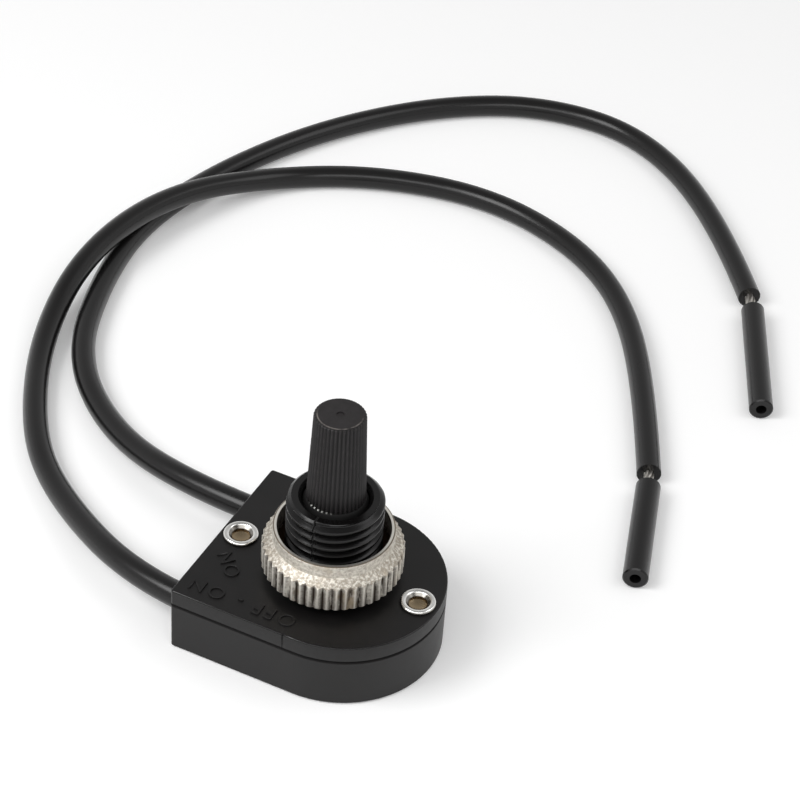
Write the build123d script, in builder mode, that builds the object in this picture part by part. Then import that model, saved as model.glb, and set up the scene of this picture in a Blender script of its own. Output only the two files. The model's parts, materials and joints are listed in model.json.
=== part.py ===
from build123d import *
from math import atan, cos, degrees, hypot, pi, radians, sin, tan
import os

os.makedirs("parts", exist_ok=True)

# Canopy switch: a small riveted case with a threaded bushing, a fluted stem that turns and
# dips against a spring, a knurled ring nut and two wire leads.
# The case stands on z = 0 and the bushing's axis is the z axis. The flat back, where the
# leads leave, faces minus x, and the round nose faces plus x. Sizes are in millimetres.

# Case outline, walls and edges
case_back = 12.75
nose_centre = 1.28
case_radius = 10.68
base_height = 5.9
cover_thickness = 1.9
floor_thickness = 1.0
side_wall = 1.53
corner_radius = 0.3
edge_radius = 0.18
parting_chamfer = 0.12
foot_chamfer = 0.2

# Threaded bushing, moulded in one with the cover, drawn at its thread's outside diameter
bushing_diameter = 9.9
bushing_length = 10.2
bushing_chamfer = 0.5
bore_diameter = 6.84
bore_lead_in = 0.35
spigot_depth = 0.5

# Ring nut, screwed a little way up the bushing
nut_gap = 1.2
nut_foot_chamfer = 0.15
knurl_height = 2.7
knurl_depth = 0.3
knurl_count = 48
shoulder_height = 0.8
shoulder_width = 1.05
neck_height = 1.4
neck_reach = 1.25
neck_wall = 0.4
neck_chamfer = 0.1
counterbore_depth = 2.4
thread_fit = 0.05

# Stem: fluted and tapered above the bushing, plain in the bore
stem_reach = 10.4
stem_top_diameter = 5.2
stem_edge_radius = 0.35
stem_edge_margin = 0.03
gate_mark_diameter = 0.8
gate_mark_depth = 0.1
mouth_gap = 0.42
flute_count = 40
flute_depth = 0.14
flute_lift = 0.1
flute_ledge = 0.04
journal_fit = 0.1
journal_taper = 0.6
flange_lip = 0.9
flange_thickness = 0.7
tang_width = 3.0

# Contact carrier, bridge and contact buttons
carrier_diameter = 9.7
carrier_thickness = 1.3
bridge_thickness = 0.3
bridge_width = 2.4
bridge_hub_wall = 0.58
bridge_leg_clearance = 0.1
part_fit = 0.05
button_diameter = 1.4
button_height = 0.3
button_edge = 0.1
contact_gap = 0.15
tip_height = 0.45

# Ratchet plate, its ridges, its guide ears and the return spring
plate_diameter = 9.4
plate_bore = 3.6
plate_thickness = 0.7
ear_reach = 7.0
ear_width = 1.9
ridge_height = 0.35
ridge_width = 1.1
ridge_inset = 0.2
ridge_clearance = 0.05
ridge_count = 4
spring_wire = 0.38
spring_turns = 2.6
spring_foot_diameter = 8.4
spring_top_diameter = 5.4

# Pockets in the base
well_clearance = 0.5
pocket_fit = 0.1
terminal_floor = 1.6
window_margin = 0.6
crimp_clearance = 0.5

# Terminals
terminal_thickness = 0.4
blade_end = 1.6
blade_bend = -4.2
blade_headroom = 0.7
neck_width = 1.2
neck_lap = 0.4
barrel_inset = 4.35
barrel_length = 3.0
barrel_wall = 0.38
crimp_fit = 0.02

# Rivets
rear_rivet_inset = 2.18
front_rivet_inset = 2.22
rivet_diameter = 2.5
rivet_hole_fit = 0.05
rivet_wall = 0.3
rivet_head_diameter = 3.8
rivet_head_thickness = 0.6
rivet_head_depth = 0.15
recess_fit = 0.1
rolled_diameter = 3.7
rolled_height = 0.38
rolled_edge = 0.12
rolled_crown_diameter = 3.1
rivet_mouth_diameter = 2.6
rivet_mouth_drop = 0.08
rivet_bore_depth = 0.35
rivet_bore_dish = 0.2

# Leads
wire_diameter = 2.8
core_diameter = 1.2
wire_height = 4.0
wire_inset = 2.95
channel_fit = 0.05
tongue_length = 2.0
crossing_clearance = 3.0
slug_fit = 0.02
slug_edge = 0.15
slug_hole_depth = 3.0
bend_share = 0.45

# Bare core between covering and slug, the slug's heading in degrees from plus x, its length
slug_sizes = {
    "a": (2.1, -73.7, 15.3),
    "b": (2.7, -67.4, 19.2),
}

# Heights that follow from the sizes above
cover_face = base_height + cover_thickness
bushing_tip = cover_face + bushing_length
spigot_face = base_height - spigot_depth
carrier_top = spigot_face - flange_thickness
carrier_bottom = carrier_top - carrier_thickness
plate_top = carrier_bottom - ridge_clearance - ridge_height
plate_bottom = plate_top - plate_thickness
contact_height = carrier_bottom + button_diameter / 2
stem_top = bushing_tip + stem_reach
nut_foot = cover_face + nut_gap
nut_height = knurl_height + shoulder_height + neck_height
blade_top = base_height - blade_headroom

# Widths and places that follow from the sizes above
neck_radius = bushing_diameter / 2 + neck_reach
nut_radius = neck_radius + shoulder_width
journal_radius = bore_diameter / 2 - journal_fit
stem_foot_radius = bore_diameter / 2 - mouth_gap
flange_radius = bore_diameter / 2 + flange_lip
bridge_hub_radius = hypot(tang_width, tang_width) / 2 + bridge_hub_wall
leg_inside = carrier_diameter / 2 - part_fit
leg_outside = leg_inside + bridge_thickness
button_face = leg_outside + button_height
button_sweep = hypot(button_face, button_diameter / 2)
well_radius = button_sweep + well_clearance
tip_face = button_sweep + contact_gap
blade_inside = tip_face + tip_height
blade_middle = blade_inside + terminal_thickness / 2
channel_radius = wire_diameter / 2 + channel_fit
wire_offset = case_radius - side_wall - channel_radius
wire_start = -case_back + wire_inset
barrel_start = -case_back + barrel_inset
barrel_end = barrel_start + barrel_length
barrel_bore = core_diameter / 2 + crimp_fit
barrel_radius = barrel_bore + barrel_wall
rivet_places = {
    "rear_rivet": -case_back + rear_rivet_inset,
    "front_rivet": nose_centre + case_radius - front_rivet_inset,
}

# Each lead's route, from inside the case to the end of its covering, as corner points.
# It drops to the ground outside the case, and lead a rises over lead b where they cross.
ground = wire_diameter / 2
crossing = ground + wire_diameter + crossing_clearance
lead_points = {
    "a": [
        (wire_start, -wire_offset, wire_height),
        (-18.4, -wire_offset, wire_height),
        (-32.4, 0.4, ground),
        (-42.5, 9.4, ground),
        (-51.0, 24.8, ground),
        (-53.6, 38.5, crossing),
        (-51.5, 53.2, crossing),
        (-42.3, 68.0, ground),
        (-32.7, 74.5, ground),
        (-17.3, 77.8, ground),
        (-3.9, 74.0, ground),
        (6.1, 66.0, ground),
        (14.6, 51.8, ground),
        (20.8, 37.5, ground),
    ],
    "b": [
        (wire_start, wire_offset, wire_height),
        (-20.2, wire_offset, wire_height),
        (-34.4, 13.5, ground),
        (-45.3, 23.2, ground),
        (-50.7, 37.9, ground),
        (-52.6, 51.6, ground),
        (-49.1, 67.3, ground),
        (-42.2, 82.1, ground),
        (-31.7, 94.7, ground),
        (-19.8, 101.8, ground),
        (-5.6, 101.8, ground),
        (9.3, 89.8, ground),
        (19.4, 74.8, ground),
    ],
}


def bend_radii(points):
    """Return the largest even bend that each corner's two straight runs have room for."""
    corners = [Vector(*point) for point in points]
    radii = []
    for before, corner, after in zip(corners, corners[1:], corners[2:]):
        arriving = corner - before
        leaving = after - corner
        half_turn = radians(arriving.get_angle(leaving)) / 2
        radii.append(bend_share * min(arriving.length, leaving.length) / tan(half_turn))
    return radii


def star(tip_radius, depth, count):
    """Return the corner points of a ring of sharp teeth, tips and roots in turn."""
    corners = []
    for step in range(2 * count):
        radius = tip_radius - depth * (step % 2)
        corners.append((radius * cos(pi * step / count), radius * sin(pi * step / count)))
    return corners


# Outline shared by the base and the cover: a flat back, straight sides and a round nose
with BuildSketch() as case_outline:
    with BuildLine():
        nose = CenterArc((nose_centre, 0), case_radius, -90, 180)
        Polyline(nose @ 1, (-case_back, case_radius), (-case_back, -case_radius), nose @ 0)
    make_face()
    fillet(case_outline.vertices().group_by(Axis.X)[0], corner_radius)

# Base: a deep tray with a well for the moving parts and a pocket for each terminal
with BuildPart() as base:
    add(case_outline.sketch)
    extrude(amount=base_height)
    chamfer(base.edges().group_by(Axis.Z)[0], foot_chamfer)
    chamfer(base.edges().group_by(Axis.Z)[-1], parting_chamfer)
    # Well, and the two slots that keep the ratchet plate from turning
    with BuildSketch(Plane.XY.offset(floor_thickness)):
        Circle(well_radius)
        Rectangle(2 * (ear_reach + pocket_fit), ear_width + 2 * part_fit)
    extrude(amount=base_height - floor_thickness, mode=Mode.SUBTRACT)
    for side in (-1, 1):
        # Window for the terminal's contact, slot for its blade and room for its crimp
        slot_inside = side * (min(blade_inside, wire_offset - barrel_radius) - pocket_fit)
        slot_outside = side * (blade_inside + terminal_thickness + pocket_fit)
        pocket_outside = side * (wire_offset + channel_radius)
        pocket_start = barrel_start - crimp_clearance
        with BuildSketch(Plane.XY.offset(terminal_floor)):
            with Locations((0, slot_inside / 2)):
                Rectangle(button_diameter + 2 * window_margin, abs(slot_inside))
            with BuildLine():
                Polyline(
                    (blade_end + pocket_fit, slot_inside),
                    (blade_end + pocket_fit, slot_outside),
                    (blade_bend + pocket_fit, slot_outside),
                    (blade_bend + pocket_fit, pocket_outside),
                    (pocket_start, pocket_outside),
                    (pocket_start, slot_inside),
                    close=True,
                )
            make_face()
        extrude(amount=base_height - terminal_floor, mode=Mode.SUBTRACT)
        # Round-bottomed channel for the lead, open upwards
        with BuildSketch(Plane.YZ.offset(-case_back)):
            with Locations((side * wire_offset, wire_height)):
                Circle(channel_radius)
            with Locations((side * wire_offset, (wire_height + base_height) / 2)):
                Rectangle(2 * channel_radius, base_height - wire_height)
        extrude(amount=barrel_inset, mode=Mode.SUBTRACT)
    # Rivet holes, with a recess below for each head
    for place in rivet_places.values():
        with BuildSketch(Plane.XY):
            with Locations((place, 0)):
                Circle(rivet_diameter / 2 + rivet_hole_fit)
        extrude(amount=base_height, mode=Mode.SUBTRACT)
        with BuildSketch(Plane.XY):
            with Locations((place, 0)):
                Circle(rivet_head_diameter / 2 + recess_fit)
        extrude(amount=rivet_head_depth + rivet_head_thickness, mode=Mode.SUBTRACT)
base.part.label = "base"
export_step(base.part, "parts/base.step")

# Cover: a plate that closes the base, with the bushing standing on it
with BuildPart() as cover:
    with BuildSketch(Plane.XY.offset(base_height)):
        add(case_outline.sketch)
    extrude(amount=cover_thickness)
    fillet(cover.edges().group_by(Axis.Z)[-1], edge_radius)
    chamfer(cover.edges().group_by(Axis.Z)[0], parting_chamfer)
    with BuildSketch(Plane.XY.offset(cover_face)):
        Circle(bushing_diameter / 2)
    extrude(amount=bushing_length)
    chamfer(cover.edges().group_by(Axis.Z)[-1], bushing_chamfer)
    # Spigot that centres the cover in the base's well
    with BuildSketch(Plane.XY.offset(spigot_face)):
        Circle(well_radius - pocket_fit)
    extrude(amount=spigot_depth)
    # Tongues that close the lead channels and hold the leads down
    for side in (-1, 1):
        with BuildSketch(Plane.YZ.offset(-case_back)):
            with Locations((side * wire_offset, (wire_height + base_height) / 2)):
                Rectangle(2 * (channel_radius - channel_fit), base_height - wire_height)
            with Locations((side * wire_offset, wire_height)):
                Circle(channel_radius, mode=Mode.SUBTRACT)
        extrude(amount=tongue_length)
    with BuildSketch(Plane.XY.offset(spigot_face)):
        Circle(bore_diameter / 2)
    extrude(amount=bushing_tip - spigot_face, mode=Mode.SUBTRACT)
    rims = cover.edges().filter_by(GeomType.CIRCLE).group_by(Axis.Z)[-1]
    chamfer(rims.sort_by(SortBy.RADIUS)[0], bore_lead_in)
    for place in rivet_places.values():
        with BuildSketch(Plane.XY.offset(base_height)):
            with Locations((place, 0)):
                Circle(rivet_diameter / 2 + rivet_hole_fit)
        extrude(amount=cover_thickness, mode=Mode.SUBTRACT)
cover.part.label = "cover"
export_step(cover.part, "parts/cover.step")

# Ring nut: sharp straight knurl, sloping shoulder and a thin neck with a counterbore
with BuildPart() as ring_nut:
    nut_bore = bushing_diameter / 2 + thread_fit
    shoulder_foot = nut_foot + knurl_height
    nut_top = nut_foot + nut_height
    counterbore_floor = nut_top - counterbore_depth
    with BuildSketch(Plane.XZ):
        with BuildLine():
            Polyline(
                (nut_bore, nut_foot),
                (nut_radius - nut_foot_chamfer, nut_foot),
                (nut_radius, nut_foot + nut_foot_chamfer),
                (nut_radius, shoulder_foot),
                (neck_radius, shoulder_foot + shoulder_height),
                (neck_radius, nut_top - neck_chamfer),
                (neck_radius - neck_chamfer, nut_top),
                (neck_radius - neck_wall, nut_top),
                (neck_radius - neck_wall, counterbore_floor),
                (nut_bore, counterbore_floor),
                close=True,
            )
        make_face()
    revolve(axis=Axis.Z)
    with BuildSketch(Plane.XY.offset(nut_foot)):
        with BuildLine():
            Polyline(*star(nut_radius, knurl_depth, knurl_count), close=True)
        make_face()
    extrude(amount=nut_height, mode=Mode.INTERSECT)
ring_nut.part.label = "ring_nut"
export_step(ring_nut.part, "parts/ring_nut.step")

# Stem: one moulding from the fluted finger grip down to the square tang
flute_foot = bushing_tip + flute_lift
stem_top_radius = stem_top_diameter / 2
with BuildPart() as stem:
    for height, radius in ((flute_foot, stem_foot_radius), (stem_top, stem_top_radius)):
        with BuildSketch(Plane.XY.offset(height)):
            with BuildLine():
                Polyline(*star(radius, flute_depth, flute_count), close=True)
            make_face()
    loft(ruled=True)
    # Round the top edge
    with BuildSketch(Plane.XZ) as grip_profile:
        with BuildLine():
            Polyline(
                (0, flute_foot),
                (stem_foot_radius + stem_edge_margin, flute_foot),
                (stem_top_radius + stem_edge_margin, stem_top),
                (0, stem_top),
                close=True,
            )
        make_face()
        fillet(grip_profile.vertices().group_by(Axis.Y)[-1].sort_by(Axis.X)[-1], stem_edge_radius)
    revolve(axis=Axis.Z, mode=Mode.INTERSECT)
    # Shallow mark of the moulding gate in the middle of the top
    with BuildSketch(Plane.XY.offset(stem_top)):
        Circle(gate_mark_diameter / 2)
    extrude(amount=-gate_mark_depth, mode=Mode.SUBTRACT)
    # Ledge at the flutes' feet, plain journal in the bore, and the flange that keeps the
    # stem in the case
    with BuildSketch(Plane.XZ):
        with BuildLine():
            Polyline(
                (0, flute_foot),
                (stem_foot_radius + flute_ledge, flute_foot),
                (journal_radius, flute_foot - journal_taper),
                (journal_radius, spigot_face),
                (flange_radius, spigot_face),
                (flange_radius, carrier_top),
                (0, carrier_top),
                close=True,
            )
        make_face()
    revolve(axis=Axis.Z)
    with BuildSketch(Plane.XY.offset(carrier_bottom)):
        Rectangle(tang_width, tang_width)
    extrude(amount=carrier_thickness)
stem.part.label = "stem"
export_step(stem.part, "parts/stem.step")

# Contact carrier: an insulating disc on the stem's tang, grooved below for the ratchet
groove_half_width = ridge_width / 2 + 2 * part_fit
with BuildPart() as contact_carrier:
    with BuildSketch(Plane.XY.offset(carrier_bottom)):
        Circle(carrier_diameter / 2)
        # Flats behind the bridge's two legs
        Rectangle(2 * (leg_inside - part_fit), carrier_diameter, mode=Mode.INTERSECT)
        Rectangle(tang_width + 2 * part_fit, tang_width + 2 * part_fit, mode=Mode.SUBTRACT)
    extrude(amount=carrier_thickness)
    # Seat for the bridge, let into the top face
    with BuildSketch(Plane.XY.offset(carrier_top - bridge_thickness)):
        Circle(bridge_hub_radius + part_fit)
        Rectangle(carrier_diameter, bridge_width + 2 * part_fit)
    extrude(amount=bridge_thickness, mode=Mode.SUBTRACT)
    # Grooves that the plate's ridges click into
    for step in range(ridge_count):
        with BuildSketch(Plane.YZ.rotated((0, 0, 360 * (step + 0.5) / ridge_count))):
            with BuildLine():
                Polyline(
                    (-groove_half_width, carrier_bottom),
                    (groove_half_width, carrier_bottom),
                    (0, carrier_bottom + ridge_height + part_fit),
                    close=True,
                )
            make_face()
        extrude(amount=carrier_diameter, mode=Mode.SUBTRACT)
contact_carrier.part.label = "contact_carrier"
export_step(contact_carrier.part, "parts/contact_carrier.step")

# Contact bridge: a copper strap over the carrier with its two ends bent down the rim
with BuildPart() as contact_bridge:
    with BuildSketch(Plane.XY.offset(carrier_top - bridge_thickness)):
        Circle(bridge_hub_radius)
        Rectangle(2 * leg_outside, bridge_width)
        Rectangle(tang_width + 2 * part_fit, tang_width + 2 * part_fit, mode=Mode.SUBTRACT)
    extrude(amount=bridge_thickness)
    with BuildSketch(Plane.XY.offset(carrier_bottom + bridge_leg_clearance)):
        for side in (-1, 1):
            with Locations((side * (leg_inside + leg_outside) / 2, 0)):
                Rectangle(bridge_thickness, bridge_width)
    extrude(amount=carrier_thickness - bridge_leg_clearance)
contact_bridge.part.label = "contact_bridge"
export_step(contact_bridge.part, "parts/contact_bridge.step")

# Bridge buttons: a silver contact on each of the bridge's legs
with BuildPart() as bridge_buttons:
    for side in (-1, 1):
        with BuildSketch(Plane.YZ.offset(side * leg_outside)):
            with Locations((0, contact_height)):
                Circle(button_diameter / 2)
        extrude(amount=side * button_height)
    chamfer(bridge_buttons.edges().group_by(Axis.X)[0], button_edge)
    chamfer(bridge_buttons.edges().group_by(Axis.X)[-1], button_edge)
bridge_buttons.part.label = "bridge_buttons"
export_step(bridge_buttons.part, "parts/bridge_buttons.step")

# Ratchet plate: slides up and down on its two ears, and its ridges hold each quarter turn.
# It is drawn as it stands while the stem turns, with the ridges' tips just under the carrier
ridge_start = hypot(tang_width, tang_width) / 2 + ridge_inset
with BuildPart() as ratchet_plate:
    with BuildSketch(Plane.XY.offset(plate_bottom)):
        Circle(plate_diameter / 2)
        Rectangle(2 * ear_reach, ear_width)
        Circle(plate_bore / 2, mode=Mode.SUBTRACT)
    extrude(amount=plate_thickness)
    for step in range(ridge_count):
        ridge_plane = Plane.YZ.rotated((0, 0, 360 * (step + 0.5) / ridge_count))
        with BuildSketch(ridge_plane.offset(ridge_start)):
            with BuildLine():
                Polyline(
                    (-ridge_width / 2, plate_top),
                    (ridge_width / 2, plate_top),
                    (0, plate_top + ridge_height),
                    close=True,
                )
            make_face()
        extrude(amount=plate_diameter / 2 - ridge_inset - ridge_start)
ratchet_plate.part.label = "ratchet_plate"
export_step(ratchet_plate.part, "parts/ratchet_plate.step")

# Return spring: a cone of round wire whose turns nest when the stem is pressed
spring_foot_radius = (spring_foot_diameter - spring_wire) / 2
spring_top_radius = (spring_top_diameter - spring_wire) / 2
spring_height = plate_bottom - floor_thickness - spring_wire
with BuildPart() as return_spring:
    with BuildLine() as spring_line:
        Helix(
            pitch=spring_height / spring_turns,
            height=spring_height,
            radius=spring_top_radius,
            center=(0, 0, plate_bottom - spring_wire / 2),
            direction=(0, 0, -1),
            cone_angle=degrees(atan((spring_foot_radius - spring_top_radius) / spring_height)),
        )
    with BuildSketch(Plane(origin=spring_line.line @ 0, z_dir=spring_line.line % 0)):
        Circle(spring_wire / 2)
    sweep(path=spring_line.line, is_frenet=True)
return_spring.part.label = "return_spring"
export_step(return_spring.part, "parts/return_spring.step")

# Terminals: a blade behind each contact, stepped out to a barrel crimped on the bare core
for side, name in ((-1, "a"), (1, "b")):
    neck_middle = wire_offset - barrel_radius + terminal_thickness / 2
    with BuildPart() as terminal:
        with BuildSketch(Plane.XY.offset(terminal_floor)):
            with Locations(((blade_end + blade_bend) / 2, side * blade_middle)):
                Rectangle(blade_end - blade_bend, terminal_thickness)
        extrude(amount=blade_top - terminal_floor)
        with BuildSketch(Plane.XY.offset(wire_height - neck_width / 2)):
            with BuildLine():
                Polyline(
                    (blade_bend + terminal_thickness, side * blade_middle),
                    (blade_bend, side * blade_middle),
                    (barrel_end - neck_lap, side * neck_middle),
                )
            trace(line_width=terminal_thickness)
        extrude(amount=neck_width)
        with BuildSketch(Plane.YZ.offset(barrel_start)):
            with Locations((side * wire_offset, wire_height)):
                Circle(barrel_radius)
        extrude(amount=barrel_length)
        with BuildSketch(Plane.YZ.offset(barrel_start)):
            with Locations((side * wire_offset, wire_height)):
                Circle(barrel_bore)
        extrude(amount=barrel_length, mode=Mode.SUBTRACT)
    terminal.part.label = "terminal_" + name
    export_step(terminal.part, "parts/terminal_" + name + ".step")

    # Silver contact on the terminal's blade
    with BuildPart() as contact:
        with BuildSketch(Plane.XZ.offset(-side * blade_inside)):
            with Locations((0, contact_height)):
                Circle(button_diameter / 2)
        extrude(amount=side * tip_height)
        chamfer(contact.edges().sort_by(lambda edge: abs(edge.center().Y))[0], button_edge)
    contact.part.label = "contact_" + name
    export_step(contact.part, "parts/contact_" + name + ".step")

# Rivets: a head let into the base, a shank, and an end rolled over on the cover, which
# leaves a funnel with a dished floor
for name, place in rivet_places.items():
    head_top = rivet_head_depth + rivet_head_thickness
    rivet_bore = rivet_diameter / 2 - rivet_wall
    bore_floor = cover_face - rivet_bore_depth
    crown = (rolled_crown_diameter / 2, cover_face + rolled_height)
    mouth = (rivet_mouth_diameter / 2, cover_face + rolled_height - rivet_mouth_drop)
    with BuildPart() as rivet:
        with BuildSketch(Plane.XZ):
            with BuildLine():
                TangentArc(crown, mouth, tangent=(-1, 0))
                Polyline(mouth, (rivet_bore, cover_face), (rivet_bore, bore_floor))
                TangentArc(
                    (0, bore_floor - rivet_bore_dish),
                    (rivet_bore, bore_floor),
                    tangent=(1, 0),
                )
                Polyline(
                    (0, bore_floor - rivet_bore_dish),
                    (0, rivet_head_depth),
                    (rivet_head_diameter / 2, rivet_head_depth),
                    (rivet_head_diameter / 2, head_top),
                    (rivet_diameter / 2, head_top),
                    (rivet_diameter / 2, cover_face),
                    (rolled_diameter / 2 - rolled_edge, cover_face),
                    (rolled_diameter / 2, cover_face + rolled_edge),
                )
                TangentArc(
                    (rolled_diameter / 2, cover_face + rolled_edge),
                    crown,
                    tangent=(0, 1),
                )
            make_face()
        revolve(axis=Axis.Z)
    rivet.part.position = (place, 0, 0)
    rivet.part.label = name
    export_step(rivet.part, "parts/" + name + ".step")

# Leads: the covering of each, then its bare core at both ends, then the slug pushed along it
for name, points in lead_points.items():
    with BuildPart() as lead:
        with BuildLine() as lead_line:
            FilletPolyline(*points, radius=bend_radii(points))
        with BuildSketch(Plane(origin=points[0], z_dir=lead_line.line % 0)):
            Circle(wire_diameter / 2)
        sweep(path=lead_line.line)
    lead.part.label = "lead_" + name
    export_step(lead.part, "parts/lead_" + name + ".step")
    route_length = lead_line.wire().length
    expected = pi * (wire_diameter / 2) ** 2 * route_length
    print("lead", name, "length", round(route_length, 2))
    print("volume over section times length", round(lead.part.volume / expected, 5))
    print("bend radii", [round(radius, 1) for radius in bend_radii(points)])

    # Bare core inside the case, from the end of the covering through the crimp
    with BuildPart() as core:
        with BuildSketch(Plane(origin=points[0], z_dir=(1, 0, 0))):
            Circle(core_diameter / 2)
        extrude(amount=barrel_end - wire_start)
    core.part.label = "core_" + name
    export_step(core.part, "parts/core_" + name + ".step")

    # Bare core outside, bent a little where it shows, ending short of the slug's far end
    bare_length, heading, slug_length = slug_sizes[name]
    covering_end = Vector(*points[-1])
    arriving = (covering_end - Vector(*points[-2])).normalized()
    leaving = Vector(cos(radians(heading)), sin(radians(heading)), 0)
    bend = covering_end + arriving * (bare_length / 2)
    slug_start = bend + leaving * (bare_length / 2)
    core_points = [covering_end, bend, slug_start + leaving * (slug_length - slug_hole_depth)]
    with BuildPart() as core_end:
        with BuildLine() as core_line:
            FilletPolyline(*core_points, radius=bend_radii(core_points))
        with BuildSketch(Plane(origin=covering_end, z_dir=arriving)):
            Circle(core_diameter / 2)
        sweep(path=core_line.line)
    core_end.part.label = "core_end_" + name
    export_step(core_end.part, "parts/core_end_" + name + ".step")

    # Slug: a short tube of covering, left on to keep the strands together
    with BuildPart() as slug:
        with BuildSketch(Plane(origin=slug_start, z_dir=leaving)):
            Circle(wire_diameter / 2)
        extrude(amount=slug_length)
        chamfer(slug.edges().filter_by(GeomType.CIRCLE), slug_edge)
        with BuildSketch(Plane(origin=slug_start, z_dir=leaving)):
            Circle(core_diameter / 2 + slug_fit)
        extrude(amount=slug_length, mode=Mode.SUBTRACT)
    slug.part.label = "slug_" + name
    export_step(slug.part, "parts/slug_" + name + ".step")
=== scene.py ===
# %% [markdown]
# # A rotary canopy switch
#
# The object is a small lamp switch in a riveted black case. A threaded bushing stands on the case,
# a knurled nut is screwed on it, a fluted stem turns in it, and two leads lie on the table behind.
#
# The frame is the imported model. Every piece in it is already at its real size and in its place, so
# this script gives the pieces their finish and makes the few forms that are better made here: the
# soft line of the leads, the strands of the bare cores, the thread, the mould's parting line and
# the raised words.

# %% The frame
import json
from math import atan2, cos, hypot, radians, sin, tau

import bmesh
import bpy
from mathutils import Matrix, Vector


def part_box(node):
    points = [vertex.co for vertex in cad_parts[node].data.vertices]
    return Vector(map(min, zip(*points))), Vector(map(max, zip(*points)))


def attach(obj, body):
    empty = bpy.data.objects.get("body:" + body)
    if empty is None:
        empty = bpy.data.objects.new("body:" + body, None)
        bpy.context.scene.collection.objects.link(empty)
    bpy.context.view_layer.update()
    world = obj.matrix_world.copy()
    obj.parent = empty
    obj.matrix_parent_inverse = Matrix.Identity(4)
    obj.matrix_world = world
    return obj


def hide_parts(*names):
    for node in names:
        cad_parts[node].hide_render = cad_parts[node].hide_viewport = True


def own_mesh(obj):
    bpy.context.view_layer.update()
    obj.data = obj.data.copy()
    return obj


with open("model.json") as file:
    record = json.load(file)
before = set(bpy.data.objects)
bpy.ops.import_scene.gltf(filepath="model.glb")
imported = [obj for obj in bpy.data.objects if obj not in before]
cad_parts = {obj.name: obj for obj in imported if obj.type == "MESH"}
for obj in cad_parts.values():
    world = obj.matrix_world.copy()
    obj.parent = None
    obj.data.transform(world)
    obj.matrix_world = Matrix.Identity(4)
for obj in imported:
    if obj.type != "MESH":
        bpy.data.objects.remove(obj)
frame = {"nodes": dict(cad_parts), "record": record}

scene = bpy.context.scene
scene.view_settings.view_transform = "Standard"
nodes = frame["nodes"]
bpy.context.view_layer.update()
mm = 0.001

# %% [markdown]
# ## Camera
#
# The photograph looks down on the switch from the front left with a long lens. The camera was
# fitted to the corners of the case, the rivets and the rims of the bushing and the stem. Its turn
# and height are angles about the case, the roll tips the horizon, and the offset says where the
# origin is seen from.

# %% Camera
camera_turn = radians(23.439)
camera_height = radians(39.261)
camera_roll = radians(4.269)
camera_offset = Vector((7.371, 23.305, 249.17)) * mm
camera_lens = 108

bpy.ops.object.camera_add()
camera = bpy.context.object
camera.name = "camera"
camera.data.lens = camera_lens
camera.data.clip_start = 10 * mm
backwards = Vector((
    sin(camera_turn) * cos(camera_height),
    -cos(camera_turn) * cos(camera_height),
    sin(camera_height),
))
aim = backwards.to_track_quat("Z", "Y").to_matrix() @ Matrix.Rotation(camera_roll, 3, "Z")
camera.matrix_world = Matrix.Translation(aim @ camera_offset) @ aim.to_4x4()
scene.camera = camera
print("camera at", [round(value / mm) for value in camera.location], "mm")

# %% [markdown]
# ## Helpers for materials
#
# Colours are written as sRGB hex values, as a colour picker shows them, and the shaders want linear
# light, so one function turns them. One more function adds a node with its settings and its inputs.
# An input is either a plain value or the socket of another node.

# %% Helpers for materials
def linear(hex_colour):
    """Return an sRGB hex colour as the linear RGBA that shaders take."""
    channels = []
    for start in (0, 2, 4):
        value = int(hex_colour[start:start + 2], 16) / 255
        channels.append(value / 12.92 if value <= 0.04045 else ((value + 0.055) / 1.055) ** 2.4)
    return (*channels, 1)


def add_node(tree, kind, inputs=None, **settings):
    """Add one shader node with its settings, and fill its inputs with values or links."""
    node = tree.nodes.new("ShaderNode" + kind)
    for name, value in settings.items():
        setattr(node, name, value)
    for name, value in (inputs or {}).items():
        if isinstance(value, bpy.types.NodeSocket):
            tree.links.new(value, node.inputs[name])
        else:
            node.inputs[name].default_value = value
    return node


def new_material(name):
    """Return a new material, its node tree and its surface shader."""
    material = bpy.data.materials.new(name)
    material.use_nodes = True
    return material, material.node_tree, material.node_tree.nodes["Principled BSDF"]


def millimetres(tree, squash=(1, 1, 1)):
    """Return the place on the piece in millimetres, so that a noise scale is a count per mm."""
    place = add_node(tree, "TexCoord").outputs["Object"]
    scale = [factor / mm for factor in squash]
    return add_node(tree, "Mapping", {"Vector": place, "Scale": scale}).outputs["Vector"]


def along(tree, axis):
    """Return the place along one axis in millimetres."""
    return add_node(tree, "SeparateXYZ", {"Vector": millimetres(tree)}).outputs[axis]


def reach_from_axis(tree):
    """Return the distance from the z axis in millimetres."""
    flat = millimetres(tree, squash=(1, 1, 0))
    return add_node(tree, "VectorMath", {0: flat}, operation="LENGTH").outputs["Value"]


def angle_about_axis(tree):
    """Return the angle about the z axis in radians, which is 0 on the plus x side."""
    inputs = {0: along(tree, "Y"), 1: along(tree, "X")}
    return add_node(tree, "Math", inputs, operation="ARCTAN2").outputs[0]


def spread(tree, value, low, high, start=0.0, end=1.0):
    """Return a number that goes from low to high while a value goes from start to end."""
    inputs = {"Value": value, "From Min": start, "From Max": end, "To Min": low, "To Max": high}
    return add_node(tree, "MapRange", inputs).outputs["Result"]


def ramp(tree, value, start, end):
    """Return a mask that goes from 0 at one value to 1 at another."""
    return spread(tree, value, 0.0, 1.0, start, end)


def blend(tree, under, over, mask):
    """Return one number, or one value of a node, laid over another where a mask is 1."""
    return add_node(tree, "Mix", {"Factor": mask, "A": under, "B": over}).outputs["Result"]


def both(tree, *masks):
    """Return the product of some masks, which is 1 where all of them are."""
    result = masks[0]
    for mask in masks[1:]:
        result = add_node(tree, "Math", {0: result, 1: mask}, operation="MULTIPLY").outputs[0]
    return result


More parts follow.
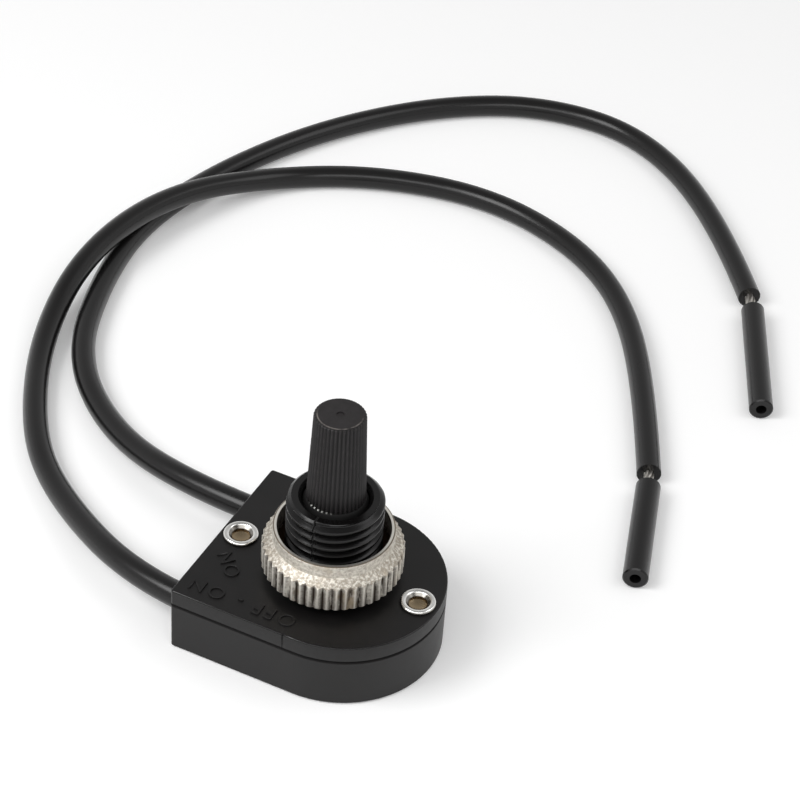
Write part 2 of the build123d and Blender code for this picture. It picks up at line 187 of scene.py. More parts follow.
def paint(tree, under, over, mask):
    """Return one colour laid over another where a mask is 1."""
    mix = add_node(tree, "Mix", data_type="RGBA")
    tree.links.new(mask, mix.inputs["Factor"])
    for socket, colour in ((mix.inputs[6], under), (mix.inputs[7], over)):
        if isinstance(colour, str):
            socket.default_value = linear(colour)
        else:
            tree.links.new(colour, socket)
    return mix.outputs[2]


def two_shades(tree, value, dark, pale, start=0.0, end=1.0):
    """Return a colour that goes from dark to pale while a value goes from start to end."""
    node = add_node(tree, "ValToRGB", {"Fac": value})
    stops = zip(node.color_ramp.elements, (start, end), (dark, pale))
    for stop, position, colour in stops:
        stop.position = position
        stop.color = linear(colour)
    return node.outputs["Color"]


def noise(tree, place, scale, detail, roughness=0.5):
    """Return a noise, its scale in cells per unit of the place it is given."""
    inputs = {"Vector": place, "Scale": scale, "Detail": detail, "Roughness": roughness}
    return add_node(tree, "TexNoise", inputs).outputs["Fac"]


def raise_grain(tree, shader, value, strength, distance):
    """Let a value raise and sink the surface by up to a distance in millimetres."""
    inputs = {"Height": value, "Strength": strength, "Distance": distance * mm}
    relief = add_node(tree, "Bump", inputs)
    tree.links.new(relief.outputs["Normal"], shader.inputs["Normal"])


def dress(piece, material):
    """Give a piece one material all over."""
    piece.data.materials.clear()
    piece.data.materials.append(material)


# %% [markdown]
# ## Table
#
# The table is a plain white sheet under the switch, a hair below the case so that the two faces
# don't fight. A camera ray sees it a little brighter than it is lit, so that it reaches white and
# still shows the soft shadow. Far from the switch the lamps don't reach it, so there it is brighter
# again.

# %% Table
table_size = 1.6
table_drop = 0.02
table_lift = 0.16
far_lift = 0.7
far_start, far_end = 150, 500

bpy.ops.mesh.primitive_plane_add(size=table_size, location=(0, 0, -table_drop * mm))
bpy.ops.object.transform_apply(location=True, rotation=True, scale=True)
table = bpy.context.object
table.name = "table"
paper, tree, shader = new_material("table_paper")
shader.inputs["Base Color"].default_value = linear("F4F4F4")
shader.inputs["Roughness"].default_value = 0.9
shader.inputs["Specular IOR Level"].default_value = 0.0
rays = add_node(tree, "LightPath")
by_camera = rays.outputs["Is Camera Ray"]
seen = add_node(tree, "Math", {0: by_camera, 1: rays.outputs["Is Glossy Ray"]}, operation="MAXIMUM")
glow = add_node(tree, "Math", {0: seen.outputs[0], 1: table_lift}, operation="MULTIPLY")
far = both(tree, ramp(tree, reach_from_axis(tree), far_start, far_end), by_camera)
glow = add_node(tree, "Math", {0: far, 1: far_lift, 2: glow.outputs[0]}, operation="MULTIPLY_ADD")
shader.inputs["Emission Color"].default_value = linear("FFFFFF")
tree.links.new(glow.outputs[0], shader.inputs["Emission Strength"])
dress(table, paper)
print("table", table_size, "m across")

# %% [markdown]
# ## World
#
# The world is white where the camera sees it. Metal and gloss see a white wall at the horizon that
# turns grey towards the ceiling, as in a real studio, which keeps the black case dark on top. For
# all other light it is a dimmer grey.

# %% World
sky_strength = 0.36
ceiling_strength = 0.3
wall_height = 0.95

world = bpy.data.worlds.new("studio")
scene.world = world
world.use_nodes = True
tree = world.node_tree
rays = add_node(tree, "LightPath")
inputs = {0: rays.outputs["Is Camera Ray"], 1: rays.outputs["Is Transmission Ray"]}
seen = add_node(tree, "Math", inputs, operation="MAXIMUM")
heading = add_node(tree, "TexCoord").outputs["Generated"]
direction = add_node(tree, "SeparateXYZ", {"Vector": heading})
wall = spread(tree, direction.outputs["Z"], 1.0, ceiling_strength, end=wall_height)
lit = blend(tree, sky_strength, wall, rays.outputs["Is Glossy Ray"])
sky = tree.nodes["Background"]
sky.inputs["Color"].default_value = linear("FFFFFF")
tree.links.new(blend(tree, lit, 1.0, seen.outputs[0]), sky.inputs["Strength"])
print("sky strength", sky_strength, "and", ceiling_strength, "in the ceiling's reflection")

# %% [markdown]
# ## Lamps
#
# Three large soft lamps stand round the object as softboxes do in a product studio. The key stands
# on the left, where the highlights on the leads, on the thread and along the straight edge come
# from. A long dim strip hangs above the camera and a third lamp stands at the back right.

# %% Lamps
aim_point = Vector((-5, 20, 5)) * mm
lamps = {
    "key": ((-240, -215, 370), (240, 240), 1.2),
    "strip": ((85, -280, 385), (520, 150), 0.7),
    "back": ((300, 150, 400), (280, 280), 0.4),
}
for name, (place, size, power) in lamps.items():
    bpy.ops.object.light_add(type="AREA", location=Vector(place) * mm)
    lamp = bpy.context.object
    lamp.name = name
    lamp.data.shape = "RECTANGLE"
    lamp.data.size = size[0] * mm
    lamp.data.size_y = size[1] * mm
    lamp.data.energy = power
    lamp.rotation_euler = (lamp.location - aim_point).to_track_quat("Z", "Y").to_euler()
print("lamps:", ", ".join(lamps))

# %% [markdown]
# ## Case plastic
#
# The case and the bushing are moulded in a black thermoset, which comes out of a spark-eroded mould
# with a fine satin grain. The eye sees an even black with faint cloudy patches where the sheen
# changes. A noise of a few cells per millimetre stands for the grain, and a broad one moves the
# roughness. The insert that shaped the bushing was polished, so above the plate the plastic is
# shinier, and it is painted blacker there, partly for the polish and partly as painted shade. Hands
# have polished the rounded edge of the plate too. The joint of cover and base is dull, and so is the
# line on the bushing where the halves of the mould met.

# %% Case plastic
cover_face = 7.8
bushing_polish = 8.0
joint_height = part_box("base")[1][2] / mm
edge_foot = 7.6
parting_width = 0.13
case_black, tree, shader = new_material("moulded_black_thermoset")
place = millimetres(tree)
height = along(tree, "Z")
clouds = noise(tree, place, 0.35, 4.0, roughness=0.6)
polish_and_shade = ramp(tree, height, bushing_polish - 0.05, bushing_polish + 0.05)
colour = two_shades(tree, clouds, "0B0A0A", "110F0F", 0.3, 0.7)
# Above the plate the colour is painted blacker: partly the deeper black of the polish, partly
# painted shade.
tree.links.new(paint(tree, colour, "060505", polish_and_shade), shader.inputs["Base Color"])
gloss = blend(tree, spread(tree, clouds, 0.36, 0.5), 0.24, polish_and_shade)
joint = both(tree, ramp(tree, height, joint_height - 0.3, joint_height - 0.2),
             ramp(tree, height, joint_height + 0.2, joint_height + 0.1))
gloss = blend(tree, gloss, 1.0, joint)
rounded = both(tree, ramp(tree, height, edge_foot, edge_foot + 0.04),
               ramp(tree, height, cover_face - 0.005, cover_face - 0.03))
gloss = blend(tree, gloss, 0.18, rounded)
from_parting = add_node(tree, "Math", {0: along(tree, "X")}, operation="ABSOLUTE").outputs[0]
parting = both(tree, polish_and_shade, ramp(tree, from_parting, parting_width, parting_width - 0.07))
tree.links.new(blend(tree, gloss, 1.0, parting), shader.inputs["Roughness"])
raise_grain(tree, shader, noise(tree, place, 6.0, 3.0), strength=0.12, distance=0.03)
shader.inputs["Specular IOR Level"].default_value = 0.35
print("made", case_black.name)

# %% [markdown]
# ## Stem nylon
#
# The stem is moulded nylon, a softer and greyer black than the case, and matte from handling. The
# forty flutes are painted darker than the ribs between them, as painted shade, and below the feet of
# the ribs, down in the bushing, the stem is painted nearly black, as painted shade too. The edge of
# the top has a painted highlight at the front, and on one side the feet of the ribs have small
# painted glints.

# %% Stem nylon
flutes = 40
stem_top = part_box("stem")[1][2] / mm
rib_foot = 18.1
side_reach = 2.3
# Reach of the painted highlight on the edge of the top.
highlight_inside, highlight_outside = 2.16, 2.36
stem_black, tree, shader = new_material("moulded_black_nylon")
place = millimetres(tree)
height, reach, angle = along(tree, "Z"), reach_from_axis(tree), angle_about_axis(tree)
patches = noise(tree, place, 0.9, 5.0, roughness=0.7)
turned = add_node(tree, "Math", {0: angle, 1: flutes}, operation="MULTIPLY")
wave = add_node(tree, "Math", {0: turned.outputs[0]}, operation="COSINE").outputs[0]
# Painted shade: the flutes between the ribs are painted darker.
flute_shade = both(tree, ramp(tree, wave, 0.3, -0.6), ramp(tree, reach, side_reach, side_reach + 0.15))
colour = two_shades(tree, patches, "1C1A1A", "292627", 0.3, 0.75)
colour = paint(tree, colour, "0B0A0A", flute_shade)
# Painted shade: below the feet of the ribs the stem, down in the bushing, is painted nearly black.
colour = paint(tree, colour, "080707", ramp(tree, height, rib_foot + 0.05, rib_foot - 0.02))
# Painted highlight: a pale arc on the edge of the top, at the front only.
top_edge_highlight = both(tree, ramp(tree, height, stem_top - 0.2, stem_top - 0.1),
            ramp(tree, reach, highlight_inside, highlight_inside + 0.06),
            ramp(tree, reach, highlight_outside, highlight_outside - 0.08),
            ramp(tree, angle, 0.5, -0.3), ramp(tree, angle, -3.1, -2.5),
            ramp(tree, patches, 0.4, 0.55))
colour = paint(tree, colour, "6F6A66", top_edge_highlight)
# Painted glints: pale dots at the feet of the ribs, on one side only.
foot_glints = both(tree, ramp(tree, wave, 0.2, 0.6), ramp(tree, height, rib_foot - 0.1, rib_foot),
                  ramp(tree, height, rib_foot + 0.12, rib_foot + 0.06),
                  ramp(tree, angle, -2.2, -2.0), ramp(tree, angle, -1.15, -1.75))
colour = paint(tree, colour, "C9C9C5", foot_glints)
tree.links.new(colour, shader.inputs["Base Color"])
shader.inputs["Roughness"].default_value = 0.5
shader.inputs["Specular IOR Level"].default_value = 0.3
raise_grain(tree, shader, noise(tree, place, 5.0, 2.0), strength=0.08, distance=0.02)
print("made", stem_black.name)

# %% [markdown]
# ## Nickel plate
#
# The ring nut is turned brass with a plain nickel plating. Nickel is a warm grey white. The plating
# is dull and finely speckled, a few cells per millimetre, and more so on the sloping shoulder. The
# grooves of the knurl are painted dark in streaks, dirt together with painted shade, and the bore is
# painted a dark brown, brass darkened as painted shade. The crests of the knurl are rubbed bright
# and carry a painted highlight, the polished rim round the bore carries a painted highlight, and a
# thin darker line is painted outside it. All of these places are found by their height and their
# reach from the axis.

# %% Nickel plate
knurl_top = 11.7
shoulder_top = 12.5
knurl_root = 6.95
knurl_tip = 7.25
neck_bore = 5.8
rim_edge = 6.08
neck_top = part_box("ring_nut")[1][2] / mm
nickel_plate, tree, shader = new_material("nickel_plated_brass")
place = millimetres(tree)
height, reach = along(tree, "Z"), reach_from_axis(tree)
speckle = noise(tree, place, 3.4, 4.0, roughness=0.6)
stains = noise(tree, place, 0.45, 3.0)
streaks = noise(tree, millimetres(tree, squash=(1, 1, 0.22)), 1.7, 3.0, roughness=0.6)
colour = two_shades(tree, speckle, "B5AEA4", "DEDAD1", 0.34, 0.6)
colour = paint(tree, colour, "B7A995", ramp(tree, stains, 0.55, 0.7))
shoulder = both(tree, ramp(tree, height, knurl_top - 0.05, knurl_top + 0.05),
                ramp(tree, height, shoulder_top + 0.05, shoulder_top - 0.05),
                ramp(tree, speckle, 0.6, 0.42))
colour = paint(tree, colour, "A69E92", shoulder)
# Dirt with painted shade: the knurl's grooves are painted dark in streaks.
groove_dirt_and_shade = both(tree, ramp(tree, height, knurl_top + 0.15, knurl_top - 0.15),
              ramp(tree, reach, knurl_tip - 0.04, knurl_root + 0.02),
              ramp(tree, streaks, 0.38, 0.5))
colour = paint(tree, colour, "352B24", groove_dirt_and_shade)
# The knurl's crests are painted paler: rubbed bright, with a painted highlight.
crest_wear_and_highlight = both(tree, ramp(tree, height, knurl_top + 0.1, knurl_top),
             ramp(tree, reach, knurl_tip - 0.1, knurl_tip))
colour = paint(tree, colour, "EBE7DF", crest_wear_and_highlight)
on_top = ramp(tree, height, neck_top - 0.1, neck_top - 0.02)
# A thin darker line is painted just outside the rim.
dark_line = both(tree, on_top, ramp(tree, reach, rim_edge - 0.06, rim_edge))
colour = paint(tree, colour, "5E5040", dark_line)
# Painted highlight: the polished rim round the bore is painted near white.
rim_polish_and_highlight = both(tree, on_top, ramp(tree, reach, rim_edge, rim_edge - 0.08))
colour = paint(tree, colour, "F7F3EA", rim_polish_and_highlight)
# Painted shade: the bore is painted dark brown, brass darkened as shade.
colour = paint(tree, colour, "33251B", ramp(tree, reach, neck_bore + 0.02, neck_bore - 0.08))
tree.links.new(colour, shader.inputs["Base Color"])
shader.inputs["Metallic"].default_value = 1.0
dull = blend(tree, spread(tree, speckle, 0.5, 0.66), 0.42, rim_polish_and_highlight)
tree.links.new(dull, shader.inputs["Roughness"])
raise_grain(tree, shader, speckle, strength=0.25, distance=0.02)
print("made", nickel_plate.name)

# %% [markdown]
# ## Rivet plate
#
# The rivets are bright nickel-plated tube. The end that is rolled over is smooth and mirror-like
# with fine scuffs from the tool. The funnel inside it is painted greyer and the funnel's foot darker
# still, as painted shade, and the blind bottom of the bore shows bare brown brass.

# %% Rivet plate
funnel_foot = 7.8
funnel_mouth = 8.1
rivet_plate, tree, shader = new_material("bright_nickel_rivet")
height = along(tree, "Z")
scuffs = noise(tree, millimetres(tree), 2.0, 5.0)
# Painted shade: below its mouth the funnel is painted greyer than the crown.
colour = paint(tree, "F0EFEC", "8A8782", ramp(tree, height, funnel_mouth, funnel_mouth - 0.06))
# Painted shade: a dark line at the funnel's foot.
colour = paint(tree, colour, "3E382F", ramp(tree, height, funnel_foot + 0.08, funnel_foot))
colour = paint(tree, colour, "A59378", ramp(tree, height, funnel_foot - 0.1, funnel_foot - 0.16))
tree.links.new(colour, shader.inputs["Base Color"])
shader.inputs["Metallic"].default_value = 1.0
tree.links.new(spread(tree, scuffs, 0.12, 0.34), shader.inputs["Roughness"])
print("made", rivet_plate.name)

# %% [markdown]
# ## Lead covering
#
# The covering of the leads is extruded flexible PVC, a satin black with a long soft highlight.

# %% Lead covering
lead_pvc, tree, shader = new_material("extruded_black_pvc")
place = millimetres(tree)
waves = noise(tree, place, 0.25, 2.0)
shader.inputs["Base Color"].default_value = linear("151414")
tree.links.new(spread(tree, waves, 0.2, 0.3), shader.inputs["Roughness"])
shader.inputs["Specular IOR Level"].default_value = 0.35
raise_grain(tree, shader, noise(tree, place, 3.0, 4.0), strength=0.1, distance=0.05)
print("made", lead_pvc.name)

# %% [markdown]
# ## Plain finishes
#
# The core of the leads is tinned copper, a dull white metal. Nothing inside the case shows from
# outside, but the pieces are there, so each gets the finish of the real one: brass and copper
# strip, silver contacts, brown phenolic mouldings and drawn spring wire.

# %% Plain finishes
def plain_finish(name, dark, pale, cells, metallic, roughness, detail=4.0):
    """Return a material whose colour drifts between two shades, with a noise in cells per mm."""
    material, tree, shader = new_material(name)
    colour = two_shades(tree, noise(tree, millimetres(tree), cells, detail), dark, pale)
    tree.links.new(colour, shader.inputs["Base Color"])
    shader.inputs["Metallic"].default_value = metallic
    shader.inputs["Roughness"].default_value = roughness
    return material


tinned_strand = plain_finish("tinned_copper_strand", "A7A29A", "E6E3DE", 2.5, 1.0, 0.4, detail=3.0)
finishes = {
    "case_black": case_black,
    "stem_black": stem_black,
    "nickel_plate": nickel_plate,
    "rivet_plate": rivet_plate,
    "lead_pvc": lead_pvc,
    "tinned_strand": tinned_strand,
    "carrier_brown": plain_finish("moulded_brown_phenolic", "3A2013", "4E2D1B", 1.2, 0.0, 0.45),
    "copper_strip": plain_finish("rolled_copper_strip", "A4623F", "C98660", 0.8, 1.0, 0.3),
    "brass_strip": plain_finish("rolled_brass_strip", "A98645", "CFAF6B", 0.8, 1.0, 0.3),
    "silver_contact": plain_finish("silver_contact", "C2C0BB", "EDECE9", 1.5, 1.0, 0.22),
    "spring_steel": plain_finish("drawn_spring_wire", "5B5B5E", "85858A", 2.0, 1.0, 0.32),
}
for part in frame["record"]["subparts"]:
    dress(nodes[part["node"]], finishes[part["material_slot"]])

# %% [markdown]
# ## Leads
#
# Each lead is 2.8 mm thick and leaves the flat back of the case through its own channel. It sinks
# to the table, swings round behind the switch in one long loop, and ends beside a short slug of
# covering. Lead a lies over lead b where they cross, and its points are moved a little there from
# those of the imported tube, to follow the photograph. A NURBS curve takes the points as its control
# points, and its line comes out smooth, as a flexible lead lies.

# %% Leads
wire = 2.8
ground = wire / 2
crossing_gap = 0.2
crossing = ground + wire + crossing_gap
exit_height = 4.0
lead_points = {
    "a": [
        (-9.8, -7.7, exit_height), (-18.4, -7.7, exit_height),
        (-34.0, 1.6, ground), (-42.6, 9.7, ground), (-50.9, 24.6, ground),
        (-53.1, 38.4, crossing), (-50.6, 54.0, crossing), (-43.1, 67.8, ground),
        (-31.7, 74.9, ground), (-17.3, 77.9, ground), (-3.9, 74.0, ground),
        (6.1, 66.0, ground), (14.6, 51.8, ground), (20.8, 37.5, ground),
    ],
    "b": [
        (-9.8, 7.7, exit_height), (-20.2, 7.7, exit_height),
        (-34.4, 13.5, ground), (-45.3, 23.2, ground), (-50.7, 37.9, ground),
        (-52.6, 51.6, ground), (-49.1, 67.3, ground),
        (-42.2, 82.1, ground), (-31.7, 94.7, ground), (-19.8, 101.8, ground),
        (-5.6, 101.8, ground), (9.3, 89.8, ground), (19.4, 74.8, ground),
    ],
}
steps_per_point = 12


def nurbs_curve(name, points):
    """Return a curve object with one open NURBS spline, its control points given in mm."""
    data = bpy.data.curves.new(name, "CURVE")
    data.dimensions = "3D"
    data.resolution_u = steps_per_point
    spline = data.splines.new("NURBS")
    spline.points.add(len(points) - 1)
    for control, point in zip(spline.points, points):
        control.co = (*(Vector(point) * mm), 1)
    spline.order_u = 3
    spline.use_endpoint_u = True
    piece = bpy.data.objects.new(name, data)
    scene.collection.objects.link(piece)
    return piece


for name, points in lead_points.items():
    lead = nurbs_curve("lead_covering_" + name, points)
    lead.data.bevel_depth = wire / 2 * mm
    lead.data.bevel_resolution = 6
    lead.data.use_fill_caps = True
    dress(lead, lead_pvc)
    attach(lead, "housing")
    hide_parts("lead_" + name)

# %% [markdown]
# ## Strands of the bare cores
#
# Between its covering and its slug each lead shows a short stretch of bare core. It is a bunch of
# fine tinned wires twisted together, so it is made as one: a ring is screwed along z into a single
# twisted wire, more of them are made round it, and a Curve modifier lays the bunch along the core's
# line.

# %% Strands
strand = 0.4
strand_sides = 8
strand_steps = 60
strand_twist = 1.4
strand_count = 6
strand_angle = 60


def activate(piece):
    """Deselect everything, then make one piece the selected and active one."""
    bpy.ops.object.select_all(action="DESELECT")
    piece.select_set(True)
    bpy.context.view_layer.objects.active = piece


def twisted_strand(name, length, offset, angle):
    """Return one wire along z, which winds round the axis at an offset from it."""
    place = (offset * cos(angle) * mm, offset * sin(angle) * mm, 0)
    bpy.ops.object.select_all(action="DESELECT")
    bpy.ops.mesh.primitive_circle_add(vertices=strand_sides, radius=strand / 2 * mm, location=place)
    wire_ring = bpy.context.object
    wire_ring.name = name
    bpy.ops.object.transform_apply(location=True, rotation=True, scale=True)
    winding = wire_ring.modifiers.new("winding", "SCREW")
    winding.axis = "Z"
    winding.angle = strand_twist * tau
    winding.screw_offset = length * mm
    winding.steps = strand_steps
    winding.render_steps = strand_steps
    bpy.ops.object.modifier_apply(modifier=winding.name)
    return wire_ring


print("a bunch has one strand in the middle and", strand_count, "round it")

# %% [markdown]
# ## Bare cores
#
# For each lead the bare length, the slug's heading in degrees and the slug's length are known. The
# core's line leaves the covering as the lead arrives, bends once and ends in the hole of the slug.

# %% Bare cores
slug_sizes = {"a": (2.1, -73.7, 15.3), "b": (2.7, -67.4, 19.2)}
slug_hole = 3.0

for name, points in lead_points.items():
    bare_length, heading, slug_length = slug_sizes[name]
    covering_end = Vector(points[-1])
    arriving = (covering_end - Vector(points[-2])).normalized()
    leaving = Vector((cos(radians(heading)), sin(radians(heading)), 0))
    bend = covering_end + arriving * (bare_length / 2)
    far_end = bend + leaving * (bare_length / 2 + slug_length - slug_hole)
    line = nurbs_curve("core_line_" + name, [covering_end, bend, far_end])
    length = bare_length + slug_length - slug_hole
    strands = [twisted_strand("strands_" + name, length, 0, 0)]
    for step in range(strand_count):
        strands.append(twisted_strand("strand", length, strand, tau * step / strand_count))
    activate(strands[0])
    for single in strands:
        single.select_set(True)
    bpy.ops.object.join()
    bunch = bpy.context.object
    laying = bunch.modifiers.new("laying", "CURVE")
    laying.object = line
    laying.deform_axis = "POS_Z"
    bpy.ops.object.modifier_apply(modifier=laying.name)
    bpy.data.objects.remove(line)
    bpy.ops.object.mode_set(mode="EDIT")
    bpy.ops.mesh.select_all(action="SELECT")
    bpy.ops.mesh.fill_holes(sides=strand_sides)
    bpy.ops.mesh.normals_make_consistent(inside=False)
    bpy.ops.object.mode_set(mode="OBJECT")
    bpy.ops.object.shade_smooth_by_angle(angle=radians(strand_angle))
    dress(bunch, tinned_strand)
    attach(bunch, "housing")
    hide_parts("core_end_" + name)

# %% [markdown]
# ## Lengths of the leads
#
# The photograph shows both leads from end to end, so the leads above have their real lengths.

# %% Lengths of the leads
print("both leads are shown from end to end")

# %% [markdown]
# ## Thread of the bushing
#
# The bushing carries a moulded thread of 9.9 mm over its crests with about 1 mm of pitch. The
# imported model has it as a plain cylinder. A thread is its profile wound up the axis, which is what
# a Screw modifier does. The profile starts as a single point and is drawn upwards by extruding it,
# one small step at a time. A cosine gives it the soft crests and roots of a moulded thread.

# %% Thread
thread_radius = 4.95
thread_pitch = 1.05
thread_depth = 0.55
thread_turns = 12
thread_start = 6.26
turn_steps = 144
profile_steps = 16
crest_flatness = 1.3
thread_weld = 0.002
bushing_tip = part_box("cover")[1][2] / mm
tip_chamfer = 0.5
bore_radius = 3.42
bore_lead_in = 0.35


def profile_radius(step):
    """Return the thread's radius at one step of its profile, which starts and ends at a root."""
    wave = 0.5 - 0.5 * crest_flatness * cos(tau * step / profile_steps)
    return thread_radius - thread_depth * (1 - min(max(wave, 0), 1))


bpy.ops.object.select_all(action="DESELECT")
start = (profile_radius(0) * mm, 0, thread_start * mm)
bpy.ops.mesh.primitive_plane_add(size=thread_depth * mm, location=start)
thread = bpy.context.object
thread.name = "cover_thread"
bpy.ops.object.transform_apply(location=True, rotation=True, scale=True)
bpy.ops.object.mode_set(mode="EDIT")
bpy.ops.mesh.merge(type="CENTER")
for step in range(profile_steps):
    outwards = (profile_radius(step + 1) - profile_radius(step)) * mm
    upwards = thread_pitch / profile_steps * mm
    bpy.ops.mesh.extrude_region_move(TRANSFORM_OT_translate={"value": (outwards, 0, upwards)})
bpy.ops.object.mode_set(mode="OBJECT")

turns = thread.modifiers.new("turns", "SCREW")
turns.axis = "Z"
turns.angle = tau
turns.screw_offset = thread_pitch * mm
turns.iterations = thread_turns
turns.steps = turn_steps
turns.render_steps = turn_steps
bpy.ops.object.modifier_apply(modifier=turns.name)
bpy.ops.object.mode_set(mode="EDIT")
bpy.ops.mesh.select_all(action="SELECT")
bpy.ops.mesh.remove_doubles(threshold=thread_weld * mm)
bpy.ops.object.mode_set(mode="OBJECT")
print("thread:", len(thread.data.vertices), "points")

# %% [markdown]
# ## Parting line
#
# The two halves of the mould met in the plane x = 0, and they didn't meet quite true: the thread on
# the plus x side sits a tenth of a millimetre higher, with a fine line between. The points of that
# half are moved up, and the columns of points beside the line are drawn close to it, so that the
# step is sharp.

# %% Parting line
mismatch = 0.1
line_depth = 0.2
column_pull = 0.25
column_width = tau / turn_steps * thread_radius

for vertex in thread.data.vertices:
    across = vertex.co.x / mm
    if abs(across) < column_width / 4:
        vertex.co.y *= 1 - line_depth / thread_radius
    elif abs(across) < column_width * 1.5:
        vertex.co.x *= column_pull
    if across > column_width / 4:
        vertex.co.z += mismatch * mm
print("moved half of the thread up by", mismatch, "mm")

# %% [markdown]
# ## Tip and bore
#
# Two bisecting planes cut the thread to length. Every point near the tip that stands outside the
# chamfer's cone is brought in to it. Then the rim is extruded inwards ring by ring, across the flat
# end, down the lead-in and down the bore, and a bridge closes the foot, so that the bushing is one
# closed shell. First come two helpers, one that selects points by their place and one that puts
# them on a ring.

# %% Helpers for rings
def pick_points(piece, test):
    """In edit mode, select the points of a piece whose place in mm passes a test."""
    edit_mesh = bmesh.from_edit_mesh(piece.data)
    for vertex in edit_mesh.verts:
        vertex.select = test(vertex.co / mm)
    edit_mesh.select_flush(True)
    edit_mesh.select_flush(False)
    bmesh.update_edit_mesh(piece.data)


def set_ring(piece, radius, height):
    """In edit mode, put the selected points on a ring round the z axis, each at its own angle."""
    edit_mesh = bmesh.from_edit_mesh(piece.data)
    for vertex in edit_mesh.verts:
        if vertex.select:
            angle = atan2(vertex.co.y, vertex.co.x)
            vertex.co = Vector((radius * cos(angle), radius * sin(angle), height)) * mm
    bmesh.update_edit_mesh(piece.data)


hair = 0.001
print("a cut counts as exact within", hair, "mm")

# %% Tip and bore
rim_spacing = 0.08
activate(thread)
bpy.ops.object.mode_set(mode="EDIT")
bpy.ops.mesh.select_all(action="SELECT")
bpy.ops.mesh.bisect(
    plane_co=(0, 0, cover_face * mm), plane_no=(0, 0, 1), clear_inner=True, threshold=hair * mm
)
bpy.ops.mesh.select_all(action="SELECT")
bpy.ops.mesh.bisect(
    plane_co=(0, 0, bushing_tip * mm), plane_no=(0, 0, 1), clear_outer=True, threshold=hair * mm
)
pick_points(thread, lambda place: place.z > bushing_tip - hair)
bpy.ops.mesh.remove_doubles(threshold=rim_spacing * mm)
edit_mesh = bmesh.from_edit_mesh(thread.data)
for vertex in edit_mesh.verts:
    below_tip = bushing_tip - vertex.co.z / mm
    limit = (thread_radius - max(0, tip_chamfer - below_tip)) * mm
    reach = hypot(vertex.co.x, vertex.co.y)
    if reach > limit:
        vertex.co.x *= limit / reach
        vertex.co.y *= limit / reach
bmesh.update_edit_mesh(thread.data)
pick_points(thread, lambda place: place.z > bushing_tip - hair)
rings = (
    (bore_radius + bore_lead_in, bushing_tip),
    (bore_radius, bushing_tip - bore_lead_in),
    (bore_radius, cover_face),
)
for radius, height in rings:
    bpy.ops.mesh.extrude_region()
    set_ring(thread, radius, height)
pick_points(thread, lambda place: place.z < cover_face + hair)
bpy.ops.mesh.bridge_edge_loops()
bpy.ops.mesh.select_all(action="SELECT")
bpy.ops.mesh.normals_make_consistent(inside=False)
bpy.ops.object.mode_set(mode="OBJECT")
print("bushing:", len(thread.data.polygons), "faces")

# %% [markdown]
# ## Cover plate
#
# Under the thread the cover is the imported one. Its mesh is copied, the loose triangles are merged,
# and a bisecting plane takes the plain bushing off just above the plate. The mould left its parting
# line on the plate's two straight sides as well, so the plate gets a shallow groove there. Weighted
# normals keep the flat faces flat beside their rounded edges. Then plate and thread are joined,
# because the cover is one moulding.

# %% Cover plate
plate_skin = 0.01
plate_angle = 50
thread_angle = 38
groove_width = 0.16
groove_depth = 0.12
groove_foot = 5.9
groove_reach = 10.2

plate = bpy.data.objects.new("cover_plate", nodes["cover"].data.copy())
scene.collection.objects.link(plate)
activate(plate)
bpy.ops.mesh.customdata_custom_splitnormals_clear()
bpy.ops.object.mode_set(mode="EDIT")
bpy.ops.mesh.select_all(action="SELECT")
bpy.ops.mesh.remove_doubles(threshold=hair * mm)
bpy.ops.mesh.bisect(
    plane_co=(0, 0, (cover_face + plate_skin) * mm), plane_no=(0, 0, 1), clear_outer=True,
    threshold=hair * mm,
)
pick_points(plate, lambda place: place.z > cover_face + plate_skin - hair)
bpy.ops.mesh.bridge_edge_loops()
for side in (-groove_width / 2, 0, groove_width / 2):
    bpy.ops.mesh.select_all(action="SELECT")
    bpy.ops.mesh.bisect(plane_co=(side * mm, 0, 0), plane_no=(1, 0, 0), threshold=hair * mm)
edit_mesh = bmesh.from_edit_mesh(plate.data)
for vertex in edit_mesh.verts:
    place = vertex.co / mm
    if abs(place.x) < hair and abs(place.y) > groove_reach and place.z > groove_foot - hair:
        vertex.co.y *= 1 - groove_depth / abs(place.y)
bmesh.update_edit_mesh(plate.data)
bpy.ops.mesh.select_all(action="SELECT")
bpy.ops.mesh.normals_make_consistent(inside=False)
bpy.ops.object.mode_set(mode="OBJECT")
bpy.ops.object.shade_smooth_by_angle(angle=radians(plate_angle))
plate.modifiers.new("flat_faces_first", "WEIGHTED_NORMAL").keep_sharp = True
bpy.ops.object.modifier_apply(modifier="flat_faces_first")
activate(thread)
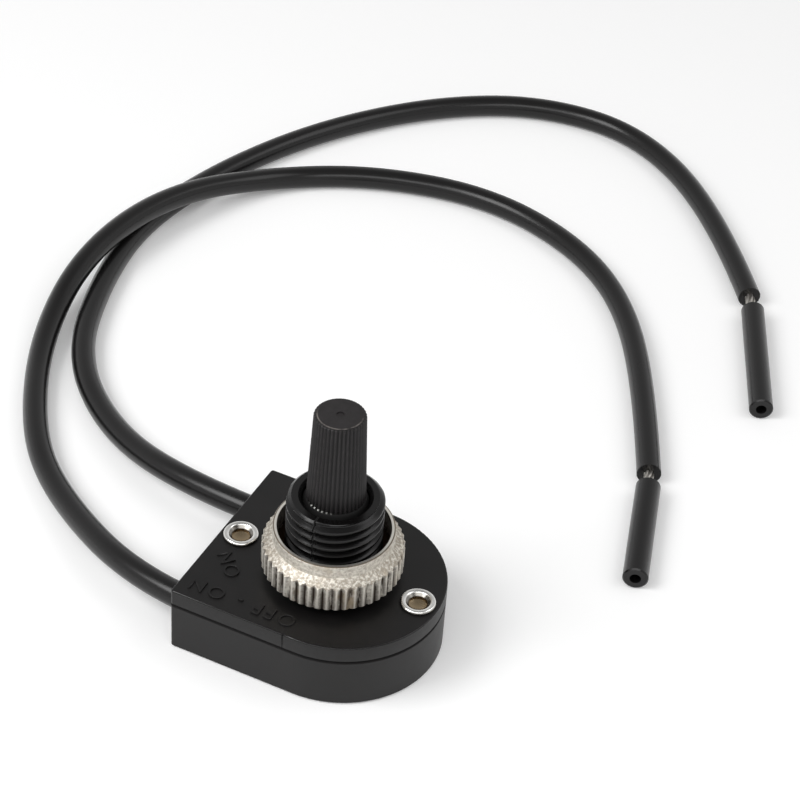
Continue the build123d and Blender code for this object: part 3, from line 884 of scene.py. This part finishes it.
bpy.ops.object.shade_smooth_by_angle(angle=radians(thread_angle))
plate.select_set(True)
bpy.ops.object.join()
dress(thread, case_black)
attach(thread, "housing")
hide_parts("cover")
print("cover with thread:", len(thread.data.polygons), "faces")

# %% [markdown]
# ## Return spring
#
# The conical spring lies under the ratchet plate, inside the case. It can't follow the plate as one
# rigid piece, because its foot stays on the floor of the case, so a copy of it stays with the
# housing.
# The stem travels 0.8 mm.

# %% Return spring
spring = bpy.data.objects.new("return_spring_coil", nodes["return_spring"].data.copy())
scene.collection.objects.link(spring)
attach(spring, "housing")
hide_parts("return_spring")
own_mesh(spring)

# %% [markdown]
# ## Raised words
#
# Moulded cases carry raised letters. This one gets the plain words of a switch, where the real one
# has its lettering: along the straight edge and beside the nut. A text object is extruded a little,
# turned into a mesh, and laid on the cover, to be read from the back as the real ones are.

# %% Raised words
letter_size = 2.35
letter_height = 0.16
letter_thinning = -0.02
words = {
    "word_along_edge": ("OFF - ON", (-5.6, -8.6), 180, 1.25),
    "word_by_nut": ("ON", (-9.4, -4.4), 135, 1.1),
}
for name, (letters, middle, turn, spacing) in words.items():
    bpy.ops.object.select_all(action="DESELECT")
    bpy.ops.object.text_add(
        location=(middle[0] * mm, middle[1] * mm, cover_face * mm), rotation=(0, 0, radians(turn))
    )
    word = bpy.context.object
    word.name = name
    word.data.body = letters
    word.data.align_x = "CENTER"
    word.data.align_y = "CENTER"
    word.data.size = letter_size * mm
    word.data.space_character = spacing
    word.data.extrude = letter_height * mm
    word.data.offset = letter_thinning * mm
    bpy.ops.object.convert(target="MESH")
    bpy.ops.object.transform_apply(location=True, rotation=True, scale=True)
    bpy.ops.object.mode_set(mode="EDIT")
    bpy.ops.mesh.select_all(action="SELECT")
    bpy.ops.mesh.remove_doubles(threshold=hair * mm)
    bpy.ops.mesh.normals_make_consistent(inside=False)
    bpy.ops.object.mode_set(mode="OBJECT")
    dress(word, case_black)
    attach(word, "housing")
    print(name, "is", [round(value / mm, 1) for value in word.dimensions], "mm")
